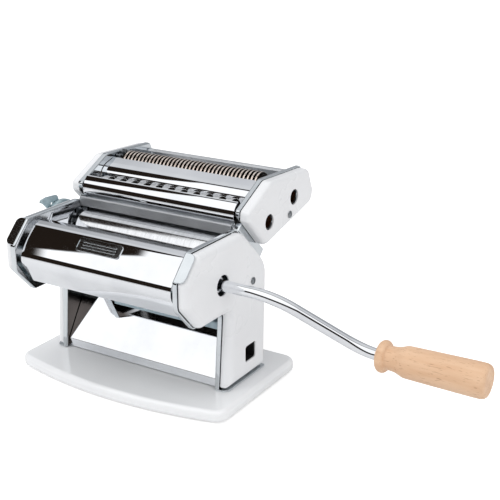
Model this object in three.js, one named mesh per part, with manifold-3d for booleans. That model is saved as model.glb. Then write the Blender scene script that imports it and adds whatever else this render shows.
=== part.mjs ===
// Hand-cranked pasta machine: a sheeting head with two smooth rollers on a white base,
// and a twin cutter that slides onto its sloping back. Millimetres, +Z up.
// X runs along the rollers with the crank on +X, and -Y is the front.
// The origin is the middle of the underside of the base.

import * as THREE from "three";
import { mergeVertices } from "three/addons/utils/BufferGeometryUtils.js";
import Module from "manifold-3d";

const wasm = await Module();
wasm.setup();

// ---------------------------------------------------------------- driving sizes

const GAP = 0.3;
const SHEET = 0.8;

// Side frames and covers, measured outwards from the middle of the machine.
const WEB_INNER = 80;
const WEB = 1.2;
const FLANGE_OUTER = 84.5;
const COVER_OUTER = 93.7;
const COVER_WALL = 1.5;
const COVER_INSET = 1.6;
const SHEET_END = WEB_INNER - 0.6;

// Base.
const BASE = { halfLength: 108, rear: 69, side: 54.5, front: 69.5, corner: 12, top: 11, pad: 1.5 };

// Sheeting rollers: the front one is driven, the rear one slides to set the gap.
const FRONT_AXIS = [-30, 109.2];
const REAR_AXIS = [1, 121.2];
const GAP_TRAVEL = 2;
const ROLLER = { radius: 15.5, left: -71.5, right: 76, shaft: 7 };
const HEAD_GEAR = { teeth: 12, tip: 17.3, root: 13.5, from: -79, to: -73.5 };

// Crank, from the drive roller's socket to the grip.
const ROD_RADIUS = 4.75;
const SOCKET_RADIUS = ROD_RADIUS + GAP;
const CRANK_THROW = [35, -44.7];
const GRIP = { from: 214.5, length: 88.5, bore: 4.1 };

// Cutter: two pairs of ringed rollers that turn in the sliding frame.
const CUTTER_COVER_OUTER = 94;
const WIDE_DRIVEN = [41.4, 142.2];
const WIDE_IDLE = [22, 152.4];
const THIN_DRIVEN = [83.4, 153.5];
const THIN_IDLE = [65.4, 165.3];
const RING = { outer: 11.5, groove: 9.3, shaft: 4.5, halfLength: 72 };
// Ring pitch and ring width of each pair.
const THIN_RINGS = [4, 1.6];
const WIDE_RINGS = [13, 6.1];
const CUTTER_GEAR = { teeth: 14, tip: 11.9, root: 9.4, from: -79.2, to: -74.2 };
const HUB = { radius: 6.1, end: 92.5 };

// Gap regulator on the left, about the rear roller's axis.
const DIAL_RADIUS = 21;

// Side outlines in the Y-Z plane: [y, z, corner radius].
const FRAME_OUTLINE = [
  [-24.5, BASE.top + GAP, 1], [-18.5, 80, 6], [-59.5, 80, 6], [-80.5, 103, 9],
  [-80.5, 125.5, 5], [-61.5, 145, 5], [4.8, 145, 10], [41.3, 108, 20], [38, BASE.top + GAP, 1],
];
// The covers' corner radii, in the same order.
const COVER_RADII = [1, 7, 5, 8, 5, 6, 14, 22, 1];
const COVER_EDGE = 6.5;
const CUTTER_OUTLINE = [
  [8.5, 154.4, 1], [8.5, 158.8, 3], [44.5, 177.3, 12], [110.8, 174.2, 5], [120, 152, 5],
  [116.8, 140.6, 9], [42, 122.6, 4], [40.3, 122.6, 0.6],
];
const CUTTER_COVER_OUTLINE = [
  [9.5, 150, 4], [9.5, 158.2, 5], [44.8, 176.2, 12], [110, 173.1, 8], [118.9, 152, 6],
  [116, 141.6, 9], [41, 123.6, 6], [35, 123.6, 4],
];

// Where an outline drawn in two directions ends up: first axis, second axis, extrusion axis.
const AXIS = {
  x: new THREE.Vector3(1, 0, 0),
  y: new THREE.Vector3(0, 1, 0),
  z: new THREE.Vector3(0, 0, 1),
  slopeOut: new THREE.Vector3(0, 1, 1).normalize(),
  slopeUp: new THREE.Vector3(0, -1, 1).normalize(),
};
const ALONG_X = new THREE.Matrix4().makeBasis(AXIS.y, AXIS.z, AXIS.x);
const ALONG_Z = new THREE.Matrix4();
const ALONG_SLOPE = new THREE.Matrix4().makeBasis(AXIS.x, AXIS.slopeOut, AXIS.slopeUp);
const TURNED = new THREE.Matrix4().makeBasis(AXIS.y, AXIS.x, AXIS.z.clone().negate());

const LOOKS = {
  chrome: { color: 0xc9cdd2, roughness: 0.12, metalness: 1 },
  steel: { color: 0x9a9ea3, roughness: 0.35, metalness: 1 },
  zinc: { color: 0xb6c9cf, roughness: 0.4, metalness: 0.8 },
  bronze: { color: 0xa8744a, roughness: 0.4, metalness: 1 },
  whitePaint: { color: 0xe9eaec, roughness: 0.3, metalness: 0 },
  whitePlastic: { color: 0xf1f2f4, roughness: 0.25, metalness: 0 },
  blackPlastic: { color: 0x161616, roughness: 0.6, metalness: 0 },
  rubber: { color: 0x2a2a2a, roughness: 0.9, metalness: 0 },
  beech: { color: 0xdeb896, roughness: 0.55, metalness: 0 },
};

// ---------------------------------------------------------------- outlines

// Points of an outline or an open path whose corners are rounded.
function rounded(corners, closed = true, steps = 3) {
  const count = corners.length;
  const at = (index) => new THREE.Vector2(...corners[(index + count) % count]);
  return corners.flatMap(([, , radius = 0], index) => {
    const corner = at(index);
    const isEnd = !closed && (index === 0 || index === count - 1);
    if (isEnd || radius === 0) return [corner];
    const before = at(index - 1).sub(corner).normalize();
    const after = at(index + 1).sub(corner).normalize();
    const half = before.angleTo(after) / 2;
    const start = before.clone().multiplyScalar(radius / Math.tan(half));
    const end = after.clone().multiplyScalar(radius / Math.tan(half));
    const centre = before.add(after).setLength(radius / Math.sin(half));
    const from = start.sub(centre).angle();
    const turn = end.sub(centre).angle() - from;
    const sweep = turn - 2 * Math.PI * Math.round(turn / (2 * Math.PI));
    return Array.from({ length: steps + 1 }, (_, step) => {
      const angle = from + (sweep * step) / steps;
      return new THREE.Vector2(Math.cos(angle), Math.sin(angle))
        .multiplyScalar(radius).add(centre).add(corner);
    });
  });
}

// The same corners moved inwards by a distance, with their radii to suit.
function inset(corners, distance) {
  const count = corners.length;
  const area = THREE.ShapeUtils.area(corners.map(([y, z]) => new THREE.Vector2(y, z)));
  const side = Math.sign(area);
  const at = (index) => new THREE.Vector2(...corners[(index + count) % count]);
  return corners.map(([y, z, radius], index) => {
    const into = at(index).sub(at(index - 1)).normalize();
    const out = at(index + 1).sub(at(index)).normalize();
    const share = (distance * side) / (1 + into.dot(out));
    const convex = into.cross(out) * side > 0;
    const bent = convex ? Math.max(radius - distance, 0.3) : radius + distance;
    const newRadius = radius === 0 ? 0 : bent;
    return [y - (into.y + out.y) * share, z + (into.x + out.x) * share, newRadius];
  });
}

// The closed outline of a sheet that follows an open path of rounded corners.
function sheetOutline(corners, thickness = SHEET, steps = 5) {
  const path = rounded(corners, false, steps);
  const side = (sign) => path.map((point, index) => {
    const before = path[Math.max(index - 1, 0)];
    const after = path[Math.min(index + 1, path.length - 1)];
    const along = after.clone().sub(before).normalize();
    return new THREE.Vector2(-along.y, along.x).multiplyScalar((sign * thickness) / 2).add(point);
  });
  return [...side(1), ...side(-1).reverse()];
}

function circle([y, z], radius, sides = 20) {
  return Array.from({ length: sides }, (_, index) => {
    const angle = ((index + 0.5) / sides) * 2 * Math.PI;
    return new THREE.Vector2(y + radius * Math.cos(angle), z + radius * Math.sin(angle));
  });
}

// A toothed wheel's outline with straight-sided teeth and one tooth at the given angle.
function gearOutline({ teeth, tip, root }, toothAt) {
  const pitch = (2 * Math.PI) / teeth;
  const flank = [[root, -0.27], [tip, -0.11], [tip, 0.11], [root, 0.27]];
  return Array.from({ length: teeth }, (_, tooth) => flank.map(([radius, share]) => {
    const angle = toothAt + pitch * (tooth + share);
    return new THREE.Vector2(radius * Math.cos(angle), radius * Math.sin(angle));
  })).flat();
}

function rectangle(low, high) {
  return [[low[0], low[1]], [high[0], low[1]], [high[0], high[1]], [low[0], high[1]]]
    .map((corner) => new THREE.Vector2(...corner));
}

// ---------------------------------------------------------------- solids

// A closed geometry as a solid for joining and cutting, with its faces out.
function solid(geometry) {
  const bare = geometry.clone();
  bare.deleteAttribute("normal");
  bare.deleteAttribute("uv");
  const merged = mergeVertices(bare, 1e-4);
  const position = merged.attributes.position;
  const triangles = [];
  let volume = 0;
  for (let start = 0; start < merged.index.count; start += 3) {
    const ids = [0, 1, 2].map((offset) => merged.index.getX(start + offset));
    if (new Set(ids).size < 3) continue;
    const [a, b, c] = ids.map((id) => new THREE.Vector3().fromBufferAttribute(position, id));
    volume += a.dot(b.cross(c));
    triangles.push(ids);
  }
  const facing = volume < 0 ? triangles.map(([a, b, c]) => [a, c, b]) : triangles;
  return new wasm.Manifold(new wasm.Mesh({
    numProp: 3,
    vertProperties: new Float32Array(position.array),
    triVerts: new Uint32Array(facing.flat()),
  }));
}

function geometryOf(body) {
  const { vertProperties, triVerts } = body.getMesh();
  const geometry = new THREE.BufferGeometry();
  geometry.setAttribute("position", new THREE.BufferAttribute(new Float32Array(vertProperties), 3));
  geometry.setIndex(new THREE.BufferAttribute(new Uint32Array(triVerts), 1));
  geometry.computeVertexNormals();
  return geometry;
}

// An outline extruded between two levels of the placement's third axis.
function prism(points, low, high, placement = ALONG_X) {
  const geometry = new THREE.ExtrudeGeometry(new THREE.Shape(points), {
    depth: high - low, bevelEnabled: false, steps: 1,
  });
  return solid(geometry.translate(0, 0, low).applyMatrix4(placement));
}

function block(low, high) {
  return prism(rectangle(low, high), low[2], high[2], ALONG_Z);
}

// A solid that passes through outlines of equal point counts, each at its own level.
function loft(outlines, placement) {
  const rings = outlines.map(({ points, level }) => (
    { points: THREE.ShapeUtils.isClockWise(points) ? points.reverse() : points, level }
  ));
  const count = rings[0].points.length;
  const position = rings.flatMap(({ points, level }) => points.flatMap(({ x, y }) => [x, y, level]));
  const index = [];
  for (let ring = 0; ring + 1 < rings.length; ring += 1) {
    for (let point = 0; point < count; point += 1) {
      const next = (point + 1) % count;
      const [a, b] = [ring * count + point, ring * count + next];
      index.push(a, b, b + count, a, b + count, a + count);
    }
  }
  const last = (rings.length - 1) * count;
  THREE.ShapeUtils.triangulateShape(rings[0].points, []).forEach(([a, b, c]) => index.push(a, c, b));
  THREE.ShapeUtils.triangulateShape(rings[rings.length - 1].points, [])
    .forEach(([a, b, c]) => index.push(last + a, last + b, last + c));
  const geometry = new THREE.BufferGeometry();
  geometry.setAttribute("position", new THREE.Float32BufferAttribute(position, 3));
  geometry.setIndex(index);
  return solid(geometry.applyMatrix4(placement));
}

// An outline extruded from one level to another, with its far edge rounded over.
function domed(corners, low, high, radius, placement, steps = 3) {
  const points = (distance) => rounded(inset(corners, distance));
  const edge = Array.from({ length: steps + 1 }, (_, step) => {
    const angle = (step / steps) * (Math.PI / 2);
    const drop = radius * (1 - Math.sin(angle)) * Math.sign(high - low);
    return { points: points(radius * (1 - Math.cos(angle))), level: high - drop };
  });
  return loft([{ points: points(0), level: low }, ...edge], placement);
}

// A solid of revolution about an axis along X; the profile is [x, radius].
function turned(profile, sides = 24, centre = [0, 0]) {
  const points = profile.map(([x, radius]) => new THREE.Vector2(radius, x));
  const geometry = new THREE.LatheGeometry(points, sides).applyMatrix4(TURNED);
  return solid(geometry.translate(0, ...centre));
}

function rod(from, to, radius, sides = 16, centre = [0, 0]) {
  return turned([[from, 0], [from, radius], [to, radius], [to, 0]], sides, centre);
}

function tube(from, to, outer, inner, sides = 16, centre = [0, 0]) {
  return turned([[from, inner], [from, outer], [to, outer], [to, inner], [from, inner]], sides, centre);
}

// ---------------------------------------------------------------- scene graph

const machine = new THREE.Group();

function piece(parent, name, body, look) {
  const mesh = new THREE.Mesh(geometryOf(body), new THREE.MeshStandardMaterial(LOOKS[look]));
  mesh.name = name;
  parent.add(mesh);
  return mesh;
}

function groupAt(parent, [y, z] = [0, 0]) {
  const group = new THREE.Group();
  group.position.set(0, y, z);
  parent.add(group);
  return group;
}

// Both sides of a part that is drawn for +X: the left one is its mirror image.
const SIDES = [["right", 1], ["left", -1]];

function onSide(body, sign) {
  return sign > 0 ? body : solid(geometryOf(body).scale(-1, 1, 1));
}

// ---------------------------------------------------------------- base

// Straight sides and back, and a front edge that bows outwards between the front corners.
function baseOutline() {
  const { halfLength, corner, rear, side, front } = BASE;
  const spans = 10;
  const bow = Array.from({ length: spans - 1 }, (_, index) => {
    const across = ((index + 1) / spans) * 2 - 1;
    return [halfLength * across, -side - (front - side) * (1 - across * across), 0];
  });
  return [
    [-halfLength, -side, corner], ...bow, [halfLength, -side, corner],
    [halfLength, rear, corner], [-halfLength, rear, corner],
  ];
}

function buildBase(parent) {
  const plate = domed(baseOutline(), BASE.pad + GAP, BASE.top, 4, ALONG_Z);
  piece(parent, "base_plate", plate, "whitePlastic");
  const pad = prism(rounded(inset(baseOutline(), 5)), 0, BASE.pad, ALONG_Z);
  piece(parent, "base_pad", pad, "rubber");
}

// ---------------------------------------------------------------- side frames and covers

const CLAMP_HOLE = { low: [3.5, 28], high: [19.5, 42.5] };
const COVER_SCREW = [15.2, 98.4];

// The space that the rear roller's shaft or gear sweeps as the gap closes.
function rearSweep(from, radius, sides) {
  const along = new THREE.Vector2(...FRONT_AXIS).sub(new THREE.Vector2(...REAR_AXIS));
  return [0, GAP_TRAVEL / 2, GAP_TRAVEL].map((travel) => {
    const { x, y } = along.setLength(Math.max(travel, 1e-9));
    return rod(from, COVER_OUTER + 20, radius, sides, [REAR_AXIS[0] + x, REAR_AXIS[1] + y]);
  }).reduce((all, next) => all.add(next));
}

// A pressed tray: a web with a flange turned outwards all round it.
function tray(outline) {
  const walls = prism(rounded(outline), WEB_INNER, FLANGE_OUTER);
  return walls.subtract(prism(rounded(inset(outline, WEB)), WEB_INNER + WEB, FLANGE_OUTER + 1));
}

// The tab that stands out from the top of the front chamfer, with its outer corners rounded.
function headTab() {
  const [low, high] = [new THREE.Vector2(-79.7, 125.9), new THREE.Vector2(-61.9, 144.2)];
  const outer = 90.8;
  const plate = prism(sheetOutline([low.toArray(), high.toArray()], WEB), WEB_INNER + WEB, outer);
  const along = high.clone().sub(low);
  const half = along.length() / 2 + 1;
  const face = rounded([
    [WEB_INNER, -half, 0], [outer, -half, 5], [outer, half, 5], [WEB_INNER, half, 0],
  ]);
  const upTab = new THREE.Vector3(0, along.x, along.y).normalize();
  const inward = new THREE.Vector3().crossVectors(AXIS.x, upTab);
  const middle = low.clone().add(high).multiplyScalar(0.5);
  const placement = new THREE.Matrix4().makeBasis(AXIS.x, upTab, inward)
    .setPosition(0, middle.x, middle.y);
  return plate.intersect(prism(face, -3, 3, placement));
}

function frameSolid(sign) {
  const foot = prism(rounded([
    [WEB_INNER + WEB, -24.5], [92.5, -24.5, 6], [92.5, 38, 2], [WEB_INNER + WEB, 38],
  ]), BASE.top + GAP, BASE.top + GAP + WEB, ALONG_Z);
  const frontBore = rod(WEB_INNER - 1, WEB_INNER + 8, ROLLER.shaft + GAP, 20, FRONT_AXIS);
  const rearBore = rearSweep(WEB_INNER - 1, ROLLER.shaft + GAP, 20);
  const frame = tray(FRAME_OUTLINE).add(foot).add(headTab()).subtract(frontBore).subtract(rearBore);
  return onSide(frame, sign);
}

function coverSolid(sign) {
  const foot = BASE.top + 2 * WEB + GAP;
  const outline = inset(FRAME_OUTLINE, COVER_INSET)
    .map(([y, z], index) => [y, Math.max(z, foot), COVER_RADII[index]]);
  const outer = domed(outline, FLANGE_OUTER + GAP, COVER_OUTER, COVER_EDGE, ALONG_X);
  const hollow = domed(
    inset(outline, COVER_WALL), FLANGE_OUTER - 1, COVER_OUTER - COVER_WALL, COVER_EDGE - COVER_WALL, ALONG_X,
  );
  const screwHole = rod(FLANGE_OUTER, COVER_OUTER + 1, 1.8, 12, COVER_SCREW);
  const shell = outer.subtract(hollow).subtract(screwHole);
  const { low, high } = CLAMP_HOLE;
  const openings = sign > 0
    ? prism(rounded([[...low, 2], [high[0], low[1], 2], [...high, 2], [low[0], high[1], 2]]), 84, 96)
      .add(rod(84, 96, 8.75, 28, FRONT_AXIS))
    : rod(84, 96, 10, 28, REAR_AXIS);
  return onSide(shell.subtract(openings), sign);
}

// A slotted dome-head screw, drawn along +X with its seat at x = 0.
function screwSolid(shank) {
  const head = turned([[-shank, 0], [-shank, 1.5], [0.3, 1.5], [0.3, 3.2], [0.9, 3], [1.6, 0]], 14);
  return head.subtract(block([0.8, -0.4, -4], [3, 0.4, 4]));
}

function buildSides(parent) {
  SIDES.forEach(([side, sign]) => {
    piece(parent, `side_frame_${side}`, frameSolid(sign), "chrome");
    piece(parent, `side_cover_${side}`, coverSolid(sign), "whitePaint");
    const screw = piece(parent, `cover_screw_${side}`, onSide(screwSolid(3), sign), "steel");
    screw.position.set(sign * COVER_OUTER, ...COVER_SCREW);
    const bush = tube(WEB_INNER + WEB + GAP, FLANGE_OUTER + 1, 11, ROLLER.shaft + GAP);
    const seat = piece(parent, `front_bush_${side}`, onSide(bush, sign), "bronze");
    seat.position.set(0, ...FRONT_AXIS);
  });
  const { low, high } = CLAMP_HOLE;
  const walls = block([WEB_INNER + WEB + GAP, low[0] - 1.5, low[1] - 1.5],
    [COVER_OUTER - COVER_WALL - GAP, high[0] + 1.5, high[1] + 1.5]);
  const socket = walls.subtract(block([WEB_INNER + 3, ...low], [COVER_OUTER, ...high]));
  piece(parent, "clamp_socket", socket, "blackPlastic");
}

// ---------------------------------------------------------------- head sheet metal

const HOOD_PATH = [
  [-41.5, 138.4], [-51.5, 140.4, 3], [-58, 138.9, 8], [-69.2, 128.2, 85], [-79.2, 113.8, 12], [-64, 90.6],
];
const HOOD_END = 76.5;
const REAR_COVER_PATH = [
  [4, 139], [3.9, 151, 1], [9.5, 138.6, 3], [40.2, 107.8, 7], [37.3, BASE.top + 1],
];
const SCRAPER_PATHS = {
  scraper_front: [[-23.2, 94.8], [-24, 79, 3], [-32, 77]],
  scraper_rear: [[-1, 104.8], [4, 92, 4], [14, 88]],
};
const SCRAPER_END = 71;
const CHUTE_PATH = [[-19.6, 12], [-20.4, 19.4, 0.9], [22.5, 89]];

function acrossHead(outline, end = SHEET_END) {
  return prism(outline, -end, end);
}

// The plaque on the hood's sloping face: its middle, and how far it reaches across and up.
const PLAQUE = { centre: [-2.3, -64.2, 132.95], halfLength: 22.5, halfHeight: 6, corner: 3, thickness: 0.8 };

// A blank plaque that follows the hood's curve.
function plaqueSolid() {
  const { centre, halfLength, halfHeight, corner, thickness } = PLAQUE;
  const skin = rounded(HOOD_PATH.slice(1, 5), false, 8);
  const lift = SHEET / 2 + GAP + thickness / 2;
  const lifted = skin.map((point, index) => {
    const before = skin[Math.max(index - 1, 0)];
    const after = skin[Math.min(index + 1, skin.length - 1)];
    const along = after.clone().sub(before).normalize();
    return [point.x + along.y * lift, point.y - along.x * lift];
  });
  const strip = prism(sheetOutline(lifted, thickness), -halfLength - 2, halfLength + 2)
    .translate([centre[0], 0, 0]);
  const [x, y] = [halfLength, halfHeight];
  const face = rounded([[-x, -y, corner], [x, -y, corner], [x, y, corner], [-x, y, corner]]);
  const [, top, bottom] = HOOD_PATH.slice(1, 4);
  const up = new THREE.Vector3(0, top[0] - bottom[0], top[1] - bottom[1]).normalize();
  const inward = new THREE.Vector3().crossVectors(AXIS.x, up);
  const placement = new THREE.Matrix4().makeBasis(AXIS.x, up, inward).setPosition(...centre);
  return strip.intersect(prism(face, -8, 8, placement));
}

// A cheek that fills the V between the rollers at one end of the feed.
function guideSolid(inner) {
  const outer = WEB_INNER - GAP;
  const cheek = prism([[-40, 132], [-22, 114], [0, 114], [2.8, 141.5], [-33, 141.5]]
    .map((corner) => new THREE.Vector2(...corner)), inner, outer);
  const slope = prism([
    new THREE.Vector2(inner - 1, 112), new THREE.Vector2(inner + 0.5, 112),
    new THREE.Vector2(outer - 1, 142), new THREE.Vector2(inner - 1, 142),
  ], -60, 20, new THREE.Matrix4().makeBasis(AXIS.x, AXIS.z, AXIS.y.clone().negate())
    .setPosition(0, -20, 0));
  const gearSpace = Math.max(HEAD_GEAR.tip, ROLLER.radius) + 0.7;
  const frontSpace = rod(inner - 2, outer + 2, gearSpace, 40, FRONT_AXIS);
  return cheek.subtract(slope).subtract(frontSpace).subtract(rearSweep(inner - 2, gearSpace, 40));
}

function buildHead(parent) {
  piece(parent, "front_hood", acrossHead(sheetOutline(HOOD_PATH), HOOD_END), "chrome");
  piece(parent, "hood_plaque", plaqueSolid(), "zinc");
  piece(parent, "rear_cover", acrossHead(sheetOutline(REAR_COVER_PATH)), "chrome");
  piece(parent, "chute", acrossHead(sheetOutline(CHUTE_PATH)), "chrome");
  const rodEnd = WEB_INNER - GAP;
  const stay = piece(parent, "front_stay", rod(-rodEnd, rodEnd, 4, 14), "zinc");
  stay.position.set(0, -57, 103);
  const lowerStay = piece(parent, "rear_stay", rod(-rodEnd, rodEnd, 4, 14), "zinc");
  lowerStay.position.set(0, 29, 98);
  Object.entries(SCRAPER_PATHS).forEach(([name, path]) => {
    piece(parent, name, acrossHead(sheetOutline(path, 1), SCRAPER_END), "zinc");
  });
  piece(parent, "feed_guide_left", onSide(guideSolid(72.6), -1), "chrome");
  piece(parent, "feed_guide_right", guideSolid(76.6), "chrome");
}

// ---------------------------------------------------------------- rollers of the head

const HEAD_LINE = Math.atan2(REAR_AXIS[1] - FRONT_AXIS[1], REAR_AXIS[0] - FRONT_AXIS[0]);

function gearSolid(gear, toothAt, bore) {
  return prism(gearOutline(gear, toothAt), gear.from, gear.to)
    .subtract(rod(gear.from - 1, gear.to + 1, bore, 20));
}

function rollerProfile(leftEnd, rightEnd) {
  return [
    [leftEnd, 0], [leftEnd, ROLLER.shaft], [ROLLER.left, ROLLER.shaft], [ROLLER.left, ROLLER.radius - 0.8],
    [ROLLER.left + 0.8, ROLLER.radius], [ROLLER.right - 0.8, ROLLER.radius],
    [ROLLER.right, ROLLER.radius - 0.8], [ROLLER.right, ROLLER.shaft], [rightEnd, ROLLER.shaft], [rightEnd, 0],
  ];
}

function buildDriveRoller(parent) {
  const group = groupAt(parent, FRONT_AXIS);
  const socket = rod(64, COVER_OUTER, SOCKET_RADIUS, 16);
  piece(group, "drive_roller", turned(rollerProfile(-89, 90.5), 28).subtract(socket), "steel");
  piece(group, "drive_gear", gearSolid(HEAD_GEAR, HEAD_LINE, ROLLER.shaft + GAP), "steel");
}

function buildRearRoller(parent) {
  const group = groupAt(parent, REAR_AXIS);
  piece(group, "rear_roller", turned(rollerProfile(-88, 89), 28), "steel");
  const toothAt = HEAD_LINE + Math.PI + Math.PI / HEAD_GEAR.teeth;
  piece(group, "rear_gear", gearSolid(HEAD_GEAR, toothAt, ROLLER.shaft + GAP), "steel");
  SIDES.forEach(([side, sign]) => {
    const bush = tube(WEB_INNER + WEB + GAP, FLANGE_OUTER, 11, ROLLER.shaft + GAP);
    piece(group, `rear_bush_${side}`, onSide(bush, sign), "bronze");
  });
}

// ---------------------------------------------------------------- crank

function crankSolid() {
  const [across, down] = CRANK_THROW;
  const corners = [[66, 0], [140, 0], [203, 1], [GRIP.from + 60, 1]]
    .map(([x, share]) => new THREE.Vector3(x, across * share, down * share));
  const path = new THREE.CurvePath();
  const bend = 20;
  const toward = (from, to) => to.clone().sub(from).setLength(bend).add(from);
  const [start, elbow, wrist, end] = corners;
  path.add(new THREE.LineCurve3(start, toward(elbow, start)));
  path.add(new THREE.QuadraticBezierCurve3(toward(elbow, start), elbow, toward(elbow, wrist)));
  path.add(new THREE.LineCurve3(toward(elbow, wrist), toward(wrist, elbow)));
  path.add(new THREE.QuadraticBezierCurve3(toward(wrist, elbow), wrist, toward(wrist, end)));
  path.add(new THREE.LineCurve3(toward(wrist, end), end));
  const section = new THREE.Shape(circle([0, 0], ROD_RADIUS, 12));
  const shaft = solid(new THREE.ExtrudeGeometry(section, { extrudePath: path, steps: 36 }));
  const sleeve = tube(GRIP.from - GAP, GRIP.from + 70, 12, GRIP.bore - GAP, 12, CRANK_THROW);
  return shaft.subtract(sleeve);
}

// The grip's profile from its collar to its rounded end: [distance along it, radius].
const GRIP_PROFILE = [
  [0, 9.8], [1, 11.6], [3, 12.8], [5.4, 12.8], [7.2, 11.6], [8.2, 10], [10.5, 9.6], [15, 10],
  [18.5, 11], [22, 12.3], [26, 12.7], [50, 13.2], [80, 13.7], [85.5, 13.3], [87.8, 12], [88.5, 10],
];

function gripSolid() {
  const body = turned([[0, 0], ...GRIP_PROFILE, [GRIP.length, 0]], 20);
  return body.subtract(rod(-1, 63, GRIP.bore, 12));
}

function buildCrank(parent) {
  const group = groupAt(parent, FRONT_AXIS);
  piece(group, "crank_rod", crankSolid(), "chrome");
  const grip = piece(group, "crank_grip", gripSolid(), "beech");
  grip.position.set(GRIP.from, ...CRANK_THROW);
}

// ---------------------------------------------------------------- gap regulator

function buildRegulator(parent) {
  const group = groupAt(parent, REAR_AXIS);
  piece(group, "regulator_hub", tube(-96.6, -89, 9.4, 3.2), "steel");
  const plate = tube(-95.4, -COVER_OUTER - GAP, 18, 10.2, 28);
  piece(group, "regulator_plate", plate, "zinc");
  const dial = turned([
    [-102, 0], [-102, DIAL_RADIUS - 2], [-100.5, DIAL_RADIUS], [-97.5, DIAL_RADIUS],
    [-97, DIAL_RADIUS - 1], [-97, 3], [-91, 2.9], [-91, 0],
  ], 28);
  piece(group, "regulator_dial", dial, "zinc");
  const wing = rounded([
    [-7, 3, 1], [-11, 12, 3], [-20, 21.5, 1.5], [-22.8, 22.3, 0.8], [-21.7, 24.8, 1], [-14.5, 25.8, 4],
    [-1, 24.9, 2.5], [2, 16, 4], [5, 3, 1],
  ], true, 3);
  const hole = rod(-110, -100, 1.6, 12, [-8.5, 18.5]);
  piece(group, "regulator_wing", prism(wing, -104.3, -102.3).subtract(hole), "zinc");
}

// ---------------------------------------------------------------- cutter slide

// Sections across the slope: [distance from the middle, distance out from the slope's foot].
const RAIL_SECTION = [[76.6, 106.2], [79, 106.2], [79, 107.6], [82.2, 107.6], [82.2, 109.7], [76.6, 109.7]];
const RUNNER_SECTION = [
  [79.6, 110.1], [82.6, 110.1], [82.6, 107.2], [79.6, 107.2], [79.6, 106.3],
  [FLANGE_OUTER - 0.2, 106.3], [FLANGE_OUTER - 0.2, 114.8], [79.6, 114.8],
];
const RAIL_SPAN = [50, 90.5];
const RUNNER_SPAN = [47.5, 95];

function onSlope(section, [low, high]) {
  return prism(section.map((corner) => new THREE.Vector2(...corner)), low, high, ALONG_SLOPE);
}

function buildRails(parent) {
  SIDES.forEach(([side, sign]) => {
    piece(parent, `cutter_rail_${side}`, onSide(onSlope(RAIL_SECTION, RAIL_SPAN), sign), "chrome");
  });
}

// ---------------------------------------------------------------- cutter frame

const CUTTER_SCREW = [75.6, 139.8];

function cutterFrame(sign) {
  const bores = [WIDE_DRIVEN, THIN_DRIVEN].map((axis) => rod(79, 88, HUB.radius + GAP, 18, axis));
  const idleBores = [WIDE_IDLE, THIN_IDLE].map((axis) => rod(79, 88, RING.shaft + GAP, 16, axis));
  const all = [...bores, ...idleBores];
  return onSide(all.reduce((frame, bore) => frame.subtract(bore), tray(CUTTER_OUTLINE)), sign);
}

function cutterCover(sign) {
  const outer = domed(CUTTER_COVER_OUTLINE, FLANGE_OUTER + GAP, CUTTER_COVER_OUTER, 3.6, ALONG_X);
  const hollow = domed(
    inset(CUTTER_COVER_OUTLINE, COVER_WALL), FLANGE_OUTER - 1, CUTTER_COVER_OUTER - COVER_WALL, 2.4, ALONG_X,
  );
  const screwHole = rod(FLANGE_OUTER, 96, 1.8, 12, CUTTER_SCREW);
  const shell = outer.subtract(hollow).subtract(screwHole);
  if (sign < 0) return onSide(shell, sign);
  return [WIDE_DRIVEN, THIN_DRIVEN].reduce((cover, axis) => cover.subtract(rod(84, 96, 6.8, 24, axis)), shell);
}

const CUTTER_SHEETS = {
  cutter_rear_cover: [[105, 167], [106.5, 168.6, 1], [110.4, 168.6, 3], [117, 152, 3], [114.2, 143.5]],
  cutter_mid_cover: [[34.8, 155], [35.8, 162.8, 7], [41, 168, 18], [54, 171.8]],
};

const FRONT_COVER_END = 79.1;

// The front cover wraps round the wide pair's idle roller.
function cutterFrontCover() {
  const path = Array.from({ length: 15 }, (_, step) => {
    const angle = THREE.MathUtils.degToRad(226 - (108 * step) / 14);
    return [WIDE_IDLE[0] + 13.1 * Math.cos(angle), WIDE_IDLE[1] + 13.1 * Math.sin(angle)];
  });
  return acrossHead(sheetOutline(path), FRONT_COVER_END);
}

// A comb whose fingers reach into a ringed roller's grooves from one direction.
function combSolid(pitch, ring, direction, reach) {
  const rings = ringCentres(pitch, ring);
  const finger = (pitch - ring) - 0.8;
  const [tip, root] = [RING.groove + 0.5, RING.outer + 1];
  const points = rings.slice(0, -1).flatMap((centre) => {
    const middle = centre + pitch / 2;
    return [[middle - finger / 2, root], [middle - finger / 2, tip],
      [middle + finger / 2, tip], [middle + finger / 2, root]];
  });
  const end = SHEET_END;
  const outline = [[-end, reach], [-end, root], ...points, [end, root], [end, reach]]
    .map((corner) => new THREE.Vector2(...corner));
  const angle = THREE.MathUtils.degToRad(direction);
  const outward = new THREE.Vector3(0, Math.cos(angle), Math.sin(angle));
  const across = new THREE.Vector3(0, -Math.sin(angle), Math.cos(angle));
  return prism(outline, -0.5, 0.5, new THREE.Matrix4().makeBasis(AXIS.x, outward, across));
}

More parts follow.
